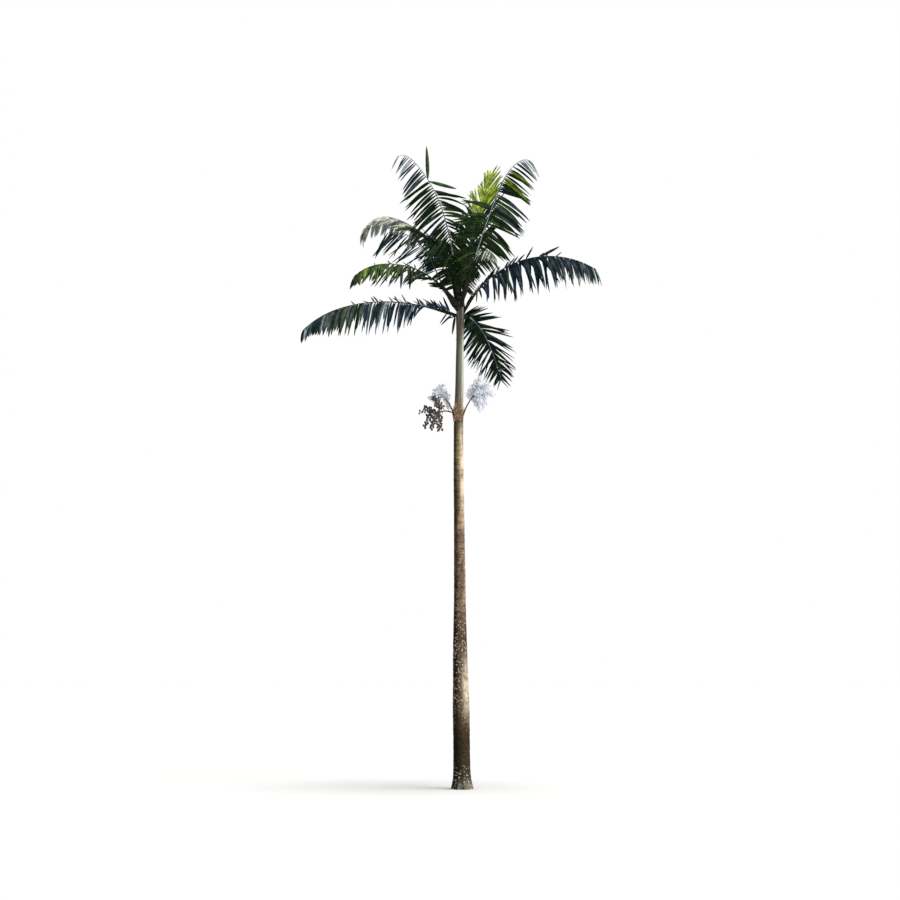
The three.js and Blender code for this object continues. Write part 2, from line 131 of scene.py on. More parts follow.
# turn: compass angle; seat: height on the crownshaft; length: of the rib; roll: of the
# blade about it; lift: the rib's angle above level; spread: angle from rib to leaflet;
# sag: how far the leaflets of each side start below level; limp: how much further at the
# base; droop: how much more they bend down; kick: how far the lowest point up, as far as
# kick_ends; hug: how far up the blade they lie along the rib; leaf: longest leaflet;
# taper: how much shorter at the tip; short: how far up they stay short; first: share of
# the rib where they start; sides: share of the blade that each side covers; strays:
# single leaflets, as (place on the rib, compass angle, lift, length, tint); tints: (share
# of the blade, {tint: weight}); patches: (side, from, to, {tint: weight}); lost: share
# that is missing; ragged: how much some are torn; wide: their width; full: how broad
# their foot is; dense: how many; spikes: share that stands up, short; cling: how closely
# they bunch; bark: share of the rib that is dark brown; stout: how much wider its foot
# is. The values of lift, spread, lost, ragged, wide and spikes are at even stations
FROND_DEFAULTS = dict(
    roll=0, limp=0, kick=0, kick_ends=0.2, hug=0, taper=0.62, short=0, first=PETIOLE_SHARE,
    sides=((0, 1), (0, 1)), strays=(), patches=(), lost=(0.04, 0.04), ragged=(0.12, 0.12),
    wide=(1, 1), full=0.15, dense=1, spikes=(0, 0), cling=1, bark=PETIOLE_SHARE, stout=1.4,
)
FRONDS = {}
FRONDS["frond_1"] = dict(
    turn=224, seat=7.45, length=2.72, roll=20, lift=(86, 82, 78, 72, 66, 54, 42, 26, -40),
    spread=(85, 66), sag=(0.6, 0.6), droop=0.4, leaf=0.66, ragged=(0.1, 0.3),
    lost=(0.03, 0.12), sides=((0, 0.6), (0, 1)), short=0.4, limp=0.8, stout=2.2,
    wide=(0.9, 0.9, 1, 0.5), bark=0.26,
    strays=(
        (0.725, 110, 86, 0.56, "mid"), (0.715, 345, -20, 0.48, "mid"),
        (0.655, 340, -22, 0.44, "mid")),
    tints=(
        (0, dict(dark=7, mid=1)), (0.3, dict(dark=5, mid=1, blue=1, grey=1)),
        (0.6, dict(dark=4, blue=2, grey=2)), (0.84, dict(blue=3, pale=3, grey=2))),
    patches=((0, 0.42, 0.62, dict(mid=5, dark=3)),),
)
FRONDS["frond_2"] = dict(
    turn=315, seat=7.46, length=2.7, roll=-20, lift=(68, 66, 65, 63, 62, 61, 46, 12, -60),
    spread=(85, 55), sag=(0.45, 0.3), droop=0.5, leaf=0.68, ragged=(0.1, 0.35),
    lost=(0.03, 0.2), cling=0.6, sides=((0, 1), (0, 0.5)), short=0.3, limp=0.3, stout=2.2,
    wide=(0.9, 0.9, 1.1, 0.5), dense=1.3, bark=0.26,
    tints=(
        (0, dict(dark=7, mid=1)), (0.4, dict(dark=5, blue=2, grey=2, mid=1)),
        (0.78, dict(pale=4, grey=3, blue=2))),
    # The green and light leaflets of the first patch are painted sunlight shining through the
    # leaflets
    patches=(
        (0, 0.64, 0.77, dict(green=3, light=1, dark=4)), (1, 0.36, 0.5, dict(mid=3, dark=6))),
)
FRONDS["frond_3"] = dict(
    turn=168, seat=7.44, length=2.6, lift=(80, 78, 72, 50, 38, 32, 16, -36, -90),
    spread=(78, 50), sag=(0.5, 0.5), droop=0.5, leaf=0.56, taper=0.66, hug=0.62, lost=(0, 0),
    ragged=(0.1, 0.1), bark=0.25, wide=(0.8, 0.7), dense=2.1, stout=2,
    tints=(
        (0, dict(dark=6, mid=1)), (0.3, dict(dark=4, grey=2, olive=2)),
        (0.5, dict(straw=3, olive=3, grey=2)), (0.66, dict(straw=8, grey=1, pale=2))),
)
FRONDS["frond_4"] = dict(
    turn=216, seat=7.305, length=2.16, lift=(54, 32, 5, -14, -44), spread=(75, 50, 20),
    sag=(0.6, 0.6), droop=1, leaf=0.5, taper=0.45, lost=(0.25, 0.35, 0.35, 0.15),
    ragged=(0.5, 0.7, 0.6, 0.5), first=0.07, short=0.5, spikes=(0.2, 0.1, 0), bark=0.45,
    hug=0.5, wide=(1.8, 0.8, 1, 1.3), dense=2, cling=2.8, stout=3.2,
    strays=((0.5, 216, -86, 0.36, "dark"), (0.57, 216, -84, 0.38, "grey")),
    tints=(
        (0, dict(brown=5, dark=3)), (0.26, dict(brown=2, dark=6, grey=1)),
        (0.48, dict(dark=5, olive=2, grey=3, straw=1)),
        (0.6, dict(dark=4, olive=5, green=2, mid=3))),
)
FRONDS["frond_5"] = dict(
    turn=184, seat=7.215, length=2.56, lift=(18, 11, -3, -20, -46), spread=(80, 40),
    sag=(1, 1), droop=1.8, kick=1.2, kick_ends=0.3, leaf=0.58, taper=0.6, lost=(0.2, 0.1, 0),
    ragged=(0.5, 0.6, 0.35, 0.35), first=0.06, spikes=(0.35, 0.3, 0.1, 0, 0), cling=1.6,
    wide=(1, 0.7, 0.8, 1.1, 1), dense=1.6,
    strays=(
        (0.01, 195, -20, 0.2, "navy"), (0.04, 190, -45, 0.26, "navy"),
        (0.02, 230, -76, 0.34, "brown"), (0.07, 185, -55, 0.22, "navy")),
    tints=(
        (0, dict(navy=7, grey=3, pale=1)), (0.45, dict(navy=3, dark=3, grey=4, pale=1)),
        (0.58, dict(dark=4, olive=3, grey=3)),
        (0.7, dict(dark=3, olive=1, grey=4, blue=2, pale=1)),
        (0.82, dict(dark=2, pale=3, grey=1, blue=4))),
)
FRONDS["frond_6"] = dict(
    turn=10, seat=7.265, length=2.6, lift=(65, 45, 22, -3, -30), spread=(80, 40), sag=(1, 1),
    droop=1.8, kick=0.9, leaf=0.66, taper=0.5, lost=(0, 0), first=0.06, short=0.42,
    spikes=(0.7, 0.35, 0.1, 0.05, 0), ragged=(0.1, 0.3), cling=3.2, wide=(1.2, 1.1, 0.7),
    full=0.8, dense=1.25, stout=1.2,
    strays=((0.54, 20, 60, 0.26, "blue"), (0.63, 10, 30, 0.38, "blue")),
    tints=(
        (0, dict(navy=5, dark=3)), (0.35, dict(blue=8, navy=2)),
        (0.66, dict(blue=5, grey=3, navy=1, pale=1))),
)
FRONDS["frond_7"] = dict(
    turn=52, seat=7.235, length=1.46, roll=-25, lift=(14, -25, -47, -58, -66),
    spread=(76, 46), sag=(0.1, 0.4), droop=0.2, kick=0.6, leaf=0.57, first=0.06,
    ragged=(0.15, 0.2), cling=1.6, strays=((0.04, 60, 84, 0.22, "blue"),),
    wide=(1.5, 0.8, 0.6), full=1, dense=1.8, stout=0.8,
    tints=((0, dict(blue=3, dark=5, grey=1)),),
)
FRONDS["frond_8"] = dict(
    turn=50, seat=7.455, length=2.38, lift=(79, 76, 72, 68, 66), spread=(50, 22), sag=(0, 0),
    droop=0.15, leaf=0.7, ragged=(0.2, 0.3), dense=1.7,
    tints=(
        (0, dict(dark=8)), (0.4, dict(dark=5, mid=3)), (0.56, dict(light=5, green=2, mid=1))),
)
FRONDS["frond_9"] = dict(
    turn=108, seat=7.4, length=2.5, lift=(82, 68, 42, 4, -40), spread=(75, 40),
    sag=(0.3, 0.3), droop=1, leaf=0.6, wide=(1.2, 0.9), full=0.3, dense=1.5,
    tints=((0, dict(dark=7, mid=1)),),
)
FRONDS["frond_10"] = dict(
    turn=292, seat=7.35, length=1.56, lift=(70, 52, 28, -6, -40), spread=(75, 40),
    sag=(0.5, 0.5), droop=1, leaf=0.42, lost=(0.22, 0.22), first=0.3, ragged=(0.4, 0.2),
    bark=1, sides=((0.5, 1), (0, 1)), wide=(0.8, 0.6),
    tints=((0, dict(dark=6)), (0.46, dict(dark=2, straw=5, olive=1, grey=2))),
)
FRONDS["frond_11"] = dict(
    turn=194, seat=7.365, length=1.72, roll=35, lift=(50, 54, 60, 67, 62, 50, 32, 6, -16),
    spread=(80, 40), sag=(0.3, 0.3), droop=0.3, leaf=0.6, taper=0.1, first=0.36,
    sides=((0, 0.35), (0, 1)), lost=(0.35, 0), ragged=(0.5, 0.2), cling=1.6, bark=0.3,
    stout=3.2, wide=(0.5, 0.5, 0.8),
    tints=((0, dict(navy=6, grey=2, pale=1)), (0.5, dict(navy=4, grey=2, dark=3))),
)
SPLIT_FRONDS = (3, 4, 6, 7, 9, 10, 11)
PALE_RIBS = (1, 2, 7)
# Leaflet colours: base colour and roughness. Several hold painted light or shade, as said above
# each
TINTS = {
    # dark: the leaflets' own dark green, made darker still as painted shade of leaflets seen
    # against the light
    "dark": ((0.0046, 0.0165, 0.0022), 0.5),
    # blue and navy: painted shade, the bluish shade of dark green leaflets seen against the
    # light
    "blue": ((0.0036, 0.013, 0.0175), 0.48),
    "navy": ((0.0085, 0.0205, 0.042), 0.5),
    "mid": ((0.024, 0.056, 0.013), 0.46),
    # green and light: partly the young frond's own light green, partly painted sunlight shining
    # through leaflets
    "green": ((0.12, 0.18, 0.02), 0.48),
    "light": ((0.3, 0.39, 0.045), 0.5),
    "olive": ((0.048, 0.066, 0.013), 0.52),
    "brown": ((0.013, 0.012, 0.0075), 0.65),
    # straw: partly the own colour of dry leaflets, partly painted sunlit gloss, as at the tip
    # of frond_3
    "straw": ((0.31, 0.33, 0.27), 0.62),
    # grey and pale: painted sheen and painted highlights of glossy leaflets
    "grey": ((0.045, 0.062, 0.066), 0.55),
    "pale": ((0.15, 0.205, 0.23), 0.5),
}

# Leaf skin: gloss, scale of patches and of veins, and tones as (place, times the base)
LEAF_GLOSS = 0.08
LEAF_PATCHES = 11
LEAF_VEINS = 90
LEAF_TONES = ((0.34, 0.55), (0.5, 1.0), (0.66, 1.9))
# Ribs, stalks, fruit and flowers: base, dark and pale tone, roughness, scale of the spots
SPOTTED = {
    "frond_rib": ((0.04, 0.055, 0.05), (0.012, 0.016, 0.015), (0.06, 0.08, 0.07), 0.5, 16),
    "frond_pale_rib": ((0.2, 0.23, 0.235), (0.06, 0.08, 0.072), (0.4, 0.44, 0.45), 0.5, 32),
    "frond_petiole": (
        (0.011, 0.012, 0.0075), (0.004, 0.0035, 0.0025), (0.03, 0.032, 0.024), 0.7, 24,
    ),
    "stalk": ((0.12, 0.085, 0.06), (0.055, 0.038, 0.034), (0.26, 0.18, 0.1), 0.7, 40),
    "fruit_ripe": ((0.068, 0.061, 0.07), (0.034, 0.032, 0.04), (0.16, 0.13, 0.105), 0.5, 30),
    "fruit_green": ((0.1, 0.092, 0.07), (0.055, 0.052, 0.045), (0.23, 0.18, 0.12), 0.5, 30),
    "blossom": ((0.78, 0.82, 0.9), (0.58, 0.6, 0.69), (0.88, 0.87, 0.86), 0.8, 18),
    "flower_stalk": ((0.11, 0.07, 0.05), (0.05, 0.036, 0.034), (0.24, 0.15, 0.09), 0.7, 40),
    "fibre": ((0.38, 0.23, 0.13), (0.15, 0.075, 0.04), (0.68, 0.56, 0.4), 0.85, 25),
}
# Bark: its tone by share of the trunk's height, and what lies over it
BARK = (0.3, 0.26, 0.2)
BARK_BY_HEIGHT = (
    (0.0, (0.17, 0.175, 0.145)), (0.035, (0.036, 0.028, 0.016)),
    (0.13, (0.03, 0.021, 0.011)), (0.175, (0.115, 0.08, 0.048)),
    (0.245, (0.18, 0.125, 0.08)), (0.31, (0.105, 0.068, 0.046)),
    (0.39, (0.125, 0.078, 0.054)), (0.48, (0.28, 0.205, 0.135)),
    (0.67, (0.35, 0.245, 0.18)), (0.75, (0.3, 0.205, 0.12)),
    (0.85, (0.43, 0.33, 0.19)), (0.97, (0.15, 0.135, 0.09)),
    (0.99, (0.27, 0.13, 0.062)),
)
BARK_DULL = (0.034, 0.025, 0.016)
BARK_STREAK = (1.7, 1.6, 1.45)
BARK_GRAIN = (
    (0.36, (0.42, 0.38, 0.33)), (0.5, (0.9, 0.88, 0.86)), (0.66, (1.5, 1.45, 1.35)),
)
RING_STAIN = (0.05, 0.036, 0.025)
# Painted shade, near black, for the side of the trunk away from the suns
PAINTED_SHADE = (0.007, 0.007, 0.003)
# Painted sunlight, a pale cream, for the side of the trunk facing the suns
PAINTED_SUNLIGHT = (0.72, 0.62, 0.46)
LICHEN = (0.6, 0.57, 0.47)
LICHEN_CELLS = 37
LICHEN_SHIFT = (0.03,) * 3
# Heights where the painted sunlight and the lichen start, are full, stop being full and end;
# where the painted shade and the lichen at the foot start and are full
LOW_PAINTED_SUNLIGHT_Z = (0.9, 1.5, 1.5, 2.1)
HIGH_PAINTED_SUNLIGHT_Z = (3.7, 4.5, 5.2, 5.6)
LICHEN_Z = (0.7, 1.5, 2.2, 3.2)
PAINTED_SHADE_Z = (3.4, 2.5)
FOOT_LICHEN_Z = (0.55, 0.05)
# Crownshaft skin: waxy tone, streaks, shadow side, sunny side, brown foot and top
SHEATH = (0.125, 0.13, 0.088)
SHEATH_STREAKS = ((0.3, (0.075, 0.078, 0.055)), (0.5, SHEATH), (0.72, (0.28, 0.285, 0.23)))
SHEATH_SHADE = (0.03, 0.027, 0.013)
SHEATH_SUNNY = (0.66, 0.67, 0.6)
SHEATH_FOOT = (0.235, 0.11, 0.05)
SHEATH_TOP = (0.052, 0.04, 0.026)
SHEATH_FOOT_Z = (6.02, 5.8)
SHEATH_TOP_Z = (6.62, 7.1)

SPEAR = dict(
    turn=10, lift=(90, 86, 83, 82, 82), length=1.78, radius=0.015, tip=0.003, swell=0.006,
    bite=0.02, steps=60, pleats=14, pleat=0.14,
)

FRUIT = dict(
    turn=200, seat=5.665, lift=(24, 10, -6, -18, -28), stalk=0.32, twigs=12,
    twig_length=0.3, twig_lift=(66, -78), twig_fan=62, fruits=13, fruit_radius=0.019,
    twig_radii=(0.005, 0.003), seed=11,
)
PANICLES = {
    "flower_panicle_left": dict(
        turn=150, seat=5.64, lift=(72, 62, 54, 46, 40), stalk=0.5, twigs=12,
        twig_length=0.21, twig_lift=(88, -30), twig_fan=80, twig_radii=(0.004, 0.002), side=18,
        seed=5,
    ),
    "flower_panicle_right": dict(
        turn=355, seat=5.64, lift=(74, 66, 58, 48, 36), stalk=0.46, twigs=14,
        twig_length=0.27, twig_lift=(88, -42), twig_fan=75, twig_radii=(0.004, 0.002), side=30,
        seed=8,
    ),
}
STALK_RADII = (0.013, 0.007)
FLOWER_STALK_RADII = (0.013, 0.006)
STALK_BITE = 0.006
STALK_STEPS = 18
# Twigs: swing from one to the next in radians, steps, and degrees of sag at even
# stations; twiglets and buds of the panicles; balls of the fruit
TWIG_SWING = 2.4
TWIG_STEPS = 10
TWIG_SAG = (0, 6, 14, 24, 36)
TWIGLET_STEPS = 6
TWIGLET_SAG = (0, 5, 12, 20, 30)
TWIGLET_RADII = (0.0036, 0.0022)
BUDS = 7
BUD_SCATTER = 0.005
BUD_SIZE = (0.006, 0.012)
BUD = np.array(((1, 0, 0), (-1, 0, 0), (0, 1, 0), (0, -1, 0), (0, 0, 1), (0, 0, -1)), float)
BUD_FACES = (
    (0, 2, 4), (2, 1, 4), (1, 3, 4), (3, 0, 4), (2, 0, 5), (1, 2, 5), (3, 1, 5), (0, 3, 5),
)
BALL_ROWS = 6
BALL_COLUMNS = 9
BALL_DENT = 0.05
BALL_WIDE = 0.9
BALL_TALL = 1.15
BALL_TIP = 1.25
GREEN_FRUITS = 0.35

# Fibres: how many; compass angle and scatter; foot and rise; swing round the trunk; how
# far they stand off; how thick they are
FIBRES = dict(
    count=150, turn=(222, 52), low=(5.53, 5.7), rise=(0.04, 0.19), swing=28, loose=0.012,
    thick=0.0022,
)

# Light: the floor's size and tone, the sky's, and each sun's name, energy, softness in
# degrees, tilt from overhead and compass turn
FLOOR_RADIUS = 600
FLOOR_COLUMNS = 96
FLOOR_TONE = (0.585, 0.59, 0.6)
SKY_TONE = (0.93, 0.97, 1)
SKY_STRENGTH = 0.52
SUN_TONE = (1, 0.96, 0.9)
SUNS = (("key_sun", 3, 60, 50, 66), ("top_sun", 2.2, 22, 5, 60))

SEEDS = dict(trunk=41, shaft=17, fronds=99, fruit=5, panicles=60, fibres=77)
DOWN = np.array((0.0, 0.0, -1.0))


# Helpers
def unit(vector):
    """A direction, or every row of directions, brought to length 1."""
    return vector / np.linalg.norm(vector, axis=-1, keepdims=True)


def heading(turn, lift):
    flat = cos(radians(lift))
    return np.array((flat * cos(radians(turn)), flat * sin(radians(turn)), sin(radians(lift))))


def smooth_step(low, high, value):
    share = np.clip((value - low) / (high - low), 0, 1)
    return share * share * (3 - 2 * share)


def smooth_profile(profile, heights):
    """Lean and radius at each height, on smooth curves through a profile's rows."""
    table = np.array(profile)
    knots = table[:, 0]
    result = []
    for column in (1, 2):
        values = table[:, column]
        slopes = np.gradient(values, knots)
        row = np.clip(np.searchsorted(knots, heights) - 1, 0, len(knots) - 2)
        span = knots[row + 1] - knots[row]
        t = np.clip((heights - knots[row]) / span, 0, 1)
        result.append(
            (2 * t**3 - 3 * t**2 + 1) * values[row] + (t**3 - 2 * t**2 + t) * span * slopes[row]
            + (3 * t**2 - 2 * t**3) * values[row + 1] + (t**3 - t**2) * span * slopes[row + 1]
        )
    return result


def point_on(profile, turn, z, off):
    """A point at a height of a stem, off its skin toward a compass angle."""
    lean, radius = (float(value) for value in smooth_profile(profile, np.array(z)))
    return heading(turn, 0) * (radius + off) + np.array((lean, 0, z))


def bell(off, width):
    return np.exp(-((off / width) ** 2))


def circle(columns):
    """Even angles once round, from 0."""
    return np.linspace(0, 2 * pi, columns, endpoint=False)


def new_object(name, data):
    made = bpy.data.objects.new(name, data)
    bpy.context.scene.collection.objects.link(made)
    return made


class Heap:
    """Collects the vertices and faces of many small shapes for one mesh."""

    def __init__(self):
        self.verts = []
        self.faces = []
        self.count = 0

    def join(self, verts, *face_sets):
        start = self.count
        self.verts.append(np.asarray(verts, float))
        for faces in face_sets:
            self.faces.extend((np.asarray(faces) + start).tolist())
        self.count += len(verts)

    def build(self, name, material, smooth=True):
        mesh = bpy.data.meshes.new(name)
        mesh.from_pydata(np.concatenate(self.verts).tolist(), [], self.faces)
        mesh.materials.append(material)
        mesh.polygons.foreach_set("use_smooth", [smooth] * len(mesh.polygons))
        mesh.update()
        return new_object(name, mesh)


def hand_over(piece, slot, *nodes):
    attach(piece, "root")
    if nodes:
        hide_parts(*nodes)


def ring_faces(rows, columns):
    row = np.arange(rows - 1)[:, None] * columns
    column = np.arange(columns)[None, :]
    after = (column + 1) % columns
    quads = np.stack(
        (row + column, row + after, row + columns + after, row + columns + column), -1
    )
    return quads.reshape(-1, 4)


def cap_faces(columns, first, centre, flip):
    column = np.arange(columns)
    after = (column + 1) % columns
    order = (after, column) if flip else (column, after)
    return np.stack((first + order[0], first + order[1], np.full(columns, centre)), -1)


def closed_faces(rows, columns, flip=False):
    """Quads between a stack of rings, and a fan of triangles at each end."""
    quads = ring_faces(rows, columns)
    return (
        quads[:, ::-1] if flip else quads,
        cap_faces(columns, 0, rows * columns, not flip),
        cap_faces(columns, (rows - 1) * columns, rows * columns + 1, flip),
    )


def add_tube(heap, line, half_width, half_depth, columns):
    """A closed tube along a line. The halves are given by row, or by row and column."""
    points, side, top = line["point"], line["side"], line["top"]
    angle = circle(columns)
    across = (np.cos(angle) * np.reshape(half_width, (len(points), -1)))[..., None]
    upward = (np.sin(angle) * np.reshape(half_depth, (len(points), -1)))[..., None]
    rings = points[:, None] + side[:, None] * across + top[:, None] * upward
    verts = np.concatenate((rings.reshape(-1, 3), points[:1], points[-1:]))
    heap.join(verts, *closed_faces(len(points), columns, flip=True))


def grow(start, turn, lift, length, steps, roll=0.0):
    """Centre line of a rib, stalk or twig with its heading, side and top."""
    share = np.linspace(0, 1, steps + 1)
    rise = np.radians(np.interp(share, np.linspace(0, 1, len(lift)), lift))
    round_z = radians(turn)
    ahead = np.stack((
        np.cos(rise) * cos(round_z), np.cos(rise) * sin(round_z), np.sin(rise)
    ), -1)
    moves = (ahead[1:] + ahead[:-1]) / 2 * length / steps
    point = np.concatenate(([start], start + np.cumsum(moves, axis=0)))
    level = np.tile((-sin(round_z), cos(round_z), 0.0), (steps + 1, 1))
    above = np.cross(ahead, level)
    tilt = radians(roll)
    side = level * cos(tilt) + above * sin(tilt)
    top = above * cos(tilt) - level * sin(tilt)
    return dict(share=share, point=point, ahead=ahead, side=side, top=top)


def along(line, share, key):
    place = min(max(share, 0.0), 1.0) * (len(line["share"]) - 1)
    low = min(int(place), len(line["share"]) - 2)
    part = place - low
    value = line[key][low] * (1 - part) + line[key][low + 1] * part
    return value if key == "point" else unit(value)


def round_line(line, share, swing):
    """The way off a line at an angle round it, from its side toward its top."""
    return (along(line, share, "side") * cos(swing)
            + along(line, share, "top") * sin(swing))


class Dice:
    """The same seeded numbers as the solids were grown with."""
    STEP = 1664525
    SHIFT = 1013904223
    RANGE = 2**32

    def __init__(self, seed):
        self.state = seed

    def roll(self):
        self.state = (self.state * self.STEP + self.SHIFT) % self.RANGE
        return self.state / self.RANGE


# Materials
def new_material(name, base, roughness, gloss=0.5):
    material = bpy.data.materials.new(name)
    material.use_nodes = True
    shader = material.node_tree.nodes["Principled BSDF"]
    shader.inputs["Base Color"].default_value = (*base, 1)
    shader.inputs["Roughness"].default_value = roughness
    shader.inputs["Specular IOR Level"].default_value = gloss
    return material, material.node_tree, shader


def feed(tree, socket, value):
    """Links an input to another node's output, or sets it to a number or colour."""
    if isinstance(value, bpy.types.NodeSocket):
        tree.links.new(value, socket)
    else:
        socket.default_value = (*value, 1) if socket.type == "RGBA" else value


def add_node(tree, kind, **values):
    """A new node; each value goes to the input or the setting of that name."""
    node = tree.nodes.new("ShaderNode" + kind)
    for key, value in values.items():
        if key in node.inputs:
            feed(tree, node.inputs[key], value)
        else:
            setattr(node, key, value)
    return node


def noise_at(tree, scale, stretch=(1, 1, 1), detail=4.0, roughness=0.55):
    """Noise in object coordinates; returns its value socket."""
    place = add_node(tree, "TexCoord").outputs["Object"]
    mapping = add_node(tree, "Mapping", Vector=place, Scale=stretch)
    return add_node(tree, "TexNoise", Vector=mapping.outputs["Vector"], Scale=scale,
                    Detail=detail, Roughness=roughness).outputs["Fac"]


def ramp(tree, value, stops):
    node = add_node(tree, "ValToRGB", Fac=value)
    elements = node.color_ramp.elements
    while len(elements) < len(stops):
        elements.new(0.5)
    for element, (place, colour) in zip(elements, stops):
        element.position = place
        element.color = (*colour, 1)
    return node.outputs["Color"]


def mixed(tree, factor, first, second, blend="MIX"):
    node = add_node(tree, "Mix", data_type="RGBA", blend_type=blend)
    for place, value in ((0, factor), (6, first), (7, second)):
        feed(tree, node.inputs[place], value)
    return node.outputs[2]


def ranged(tree, value, low, high, to_low=0.0, to_high=1.0, curve="SMOOTHSTEP"):
    node = add_node(tree, "MapRange", interpolation_type=curve, Value=value, **{
        "From Min": low, "From Max": high, "To Min": to_low, "To Max": to_high,
    })
    return node.outputs["Result"]


def times(tree, one, two, operation="MULTIPLY", kind="Math"):
    node = add_node(tree, kind, operation=operation)
    for socket, value in zip(node.inputs, (one, two)):
        feed(tree, socket, value)
    return node.outputs[0]


def dress(tree, shader, colour, height, strength, distance):
    """Gives a shader its colour and a bump that follows the height."""
    feed(tree, shader.inputs["Base Color"], colour)
    bump = add_node(tree, "Bump", Height=height, Strength=strength, Distance=distance)
    feed(tree, shader.inputs["Normal"], bump.outputs["Normal"])


def leaf_material(name, base, roughness):
    """Leaf skin: small patches of lighter and darker green, fine veins and a gloss."""
    material, tree, shader = new_material(name, base, roughness, LEAF_GLOSS)
    patches = noise_at(tree, LEAF_PATCHES, detail=5)
    tones = [(place, [tone * channel for channel in base]) for place, tone in LEAF_TONES]
    colour = ramp(tree, patches, tones)
    veins = noise_at(tree, LEAF_VEINS, detail=2)
    feed(tree, shader.inputs["Roughness"],
         ranged(tree, veins, 0.3, 0.7, roughness - 0.06, roughness + 0.1))
    dress(tree, shader, colour, veins, 0.25, 0.002)
    return material


def axis_socket(tree, source, axis):
    """Object Z is the height; normal X is how far a surface faces the sunny side."""
    place = add_node(tree, "TexCoord").outputs[source]
    return add_node(tree, "SeparateXYZ", Vector=place).outputs[axis]


def band(tree, height, start, full_from, full_to, end):
    """1 on one stretch of the height, and falling off above and below it."""
    return times(tree, ranged(tree, height, start, full_from),
                 ranged(tree, height, end, full_to))


def bark_material():
    """Palm bark tinted by height, with ring scars, cracks, lichen, painted shade and sunlight.
    """
    material, tree, shader = new_material("palm_bark", BARK, 0.9, LEAF_GLOSS)
    height = axis_socket(tree, "Object", "Z")
    tall = ramp(tree, ranged(tree, height, 0.0, RING_SCAR_Z, curve="LINEAR"), BARK_BY_HEIGHT)
    blotch = ranged(tree, noise_at(tree, 5, (1, 1, 0.6), 6, 0.6), 0.42, 0.6)
    colour = mixed(tree, blotch, mixed(tree, 0.6, tall, BARK_DULL), tall)
    streak = ranged(tree, noise_at(tree, 22, (1, 1, 0.16), 5), 0.44, 0.64)
    colour = mixed(tree, times(tree, streak, 0.6), colour, BARK_STREAK, "MULTIPLY")
    grain = ramp(tree, noise_at(tree, 32, (1, 1, 1.5), 4, 0.7), BARK_GRAIN)
    colour = mixed(tree, 1.0, colour, grain, "MULTIPLY")
    rings = add_node(tree, "Attribute", attribute_name="ring").outputs["Fac"]
    facing = axis_socket(tree, "Normal", "X")
    # Painted shade: near black in patches on the side facing away from the suns, a little
    # weaker high up
    low_down = ranged(tree, height, *PAINTED_SHADE_Z, 0.9, 1.0)
    painted_shade = times(tree, ranged(tree, facing, 0.05, -0.7),
                  ranged(tree, noise_at(tree, 9), 0.3, 0.6, 0.75, 1.0))
    # Painted sunlight: pale cream in patches on the side facing the suns, in two height bands
    bands = times(tree, band(tree, height, *LOW_PAINTED_SUNLIGHT_Z), band(tree, height, *HIGH_PAINTED_SUNLIGHT_Z),
                  "ADD")
    painted_sunlight = times(tree, ranged(tree, facing, -0.08, 0.68), bands)
    sunlight_patches = ranged(tree, noise_at(tree, 13, (1, 1, 0.5), 6, 0.7), 0.36, 0.56, 0.25, 0.95)
    for cover, tone in (
        (times(tree, rings, 0.55), RING_STAIN), (times(tree, painted_shade, low_down), PAINTED_SHADE),
        (times(tree, painted_sunlight, sunlight_patches), PAINTED_SUNLIGHT), (lichen_socket(tree, height), LICHEN),
    ):
        colour = mixed(tree, cover, colour, tone)
    cracks = noise_at(tree, 42, (1, 1, 0.22), 6, 0.65)
    dress(tree, shader, colour, cracks, 0.55, 0.012)
    return material


def lichen_socket(tree, height):
    """Small pale rosettes, thick at the foot and on one stretch of the trunk."""
    place = add_node(tree, "TexCoord").outputs["Object"]
    shift = add_node(tree, "TexNoise", Vector=place, Scale=30).outputs["Color"]
    shift = times(tree, shift, LICHEN_SHIFT, kind="VectorMath")
    warped = times(tree, place, shift, "ADD", "VectorMath")
    cells = add_node(tree, "TexVoronoi", Vector=warped, Scale=LICHEN_CELLS)
    lot = add_node(tree, "SeparateColor", Color=cells.outputs["Color"]).outputs[0]
    spot = times(tree, ranged(tree, cells.outputs["Distance"], 0.42, 0.26),
                 ranged(tree, lot, 0.42, 0.65))
    foot = ranged(tree, height, *FOOT_LICHEN_Z)
    where = times(tree, foot, band(tree, height, *LICHEN_Z), "MAXIMUM")
    return times(tree, spot, times(tree, where, 0.85))


def sheath_material():
    """Crownshaft: waxy grey-green with fine upright streaks, brown at foot and top."""
    material, tree, shader = new_material("palm_sheath", SHEATH, 0.45)
    height = axis_socket(tree, "Object", "Z")
    facing = axis_socket(tree, "Normal", "X")
    streak = noise_at(tree, 26, (1, 1, 0.06), 5, 0.6)
    colour = ramp(tree, streak, SHEATH_STREAKS)
    brown = noise_at(tree, 14, (1, 1, 0.35), 6, 0.7)
    foot = times(tree, ranged(tree, height, *SHEATH_FOOT_Z), ranged(tree, brown, 0.42, 0.58))
    top = times(tree, ranged(tree, height, *SHEATH_TOP_Z), ranged(tree, brown, 0.9, 0.42))
    for cover, tone in (
        (times(tree, ranged(tree, facing, 0.25, -0.7), 0.92), SHEATH_SHADE),
        (times(tree, ranged(tree, facing, 0.3, 0.85), 0.75), SHEATH_SUNNY),
        (times(tree, foot, ranged(tree, facing, 0.95, 0.45)), SHEATH_FOOT), (top, SHEATH_TOP),
    ):
        colour = mixed(tree, cover, colour, tone)
    dress(tree, shader, colour, streak, 0.35, 0.004)
    return material


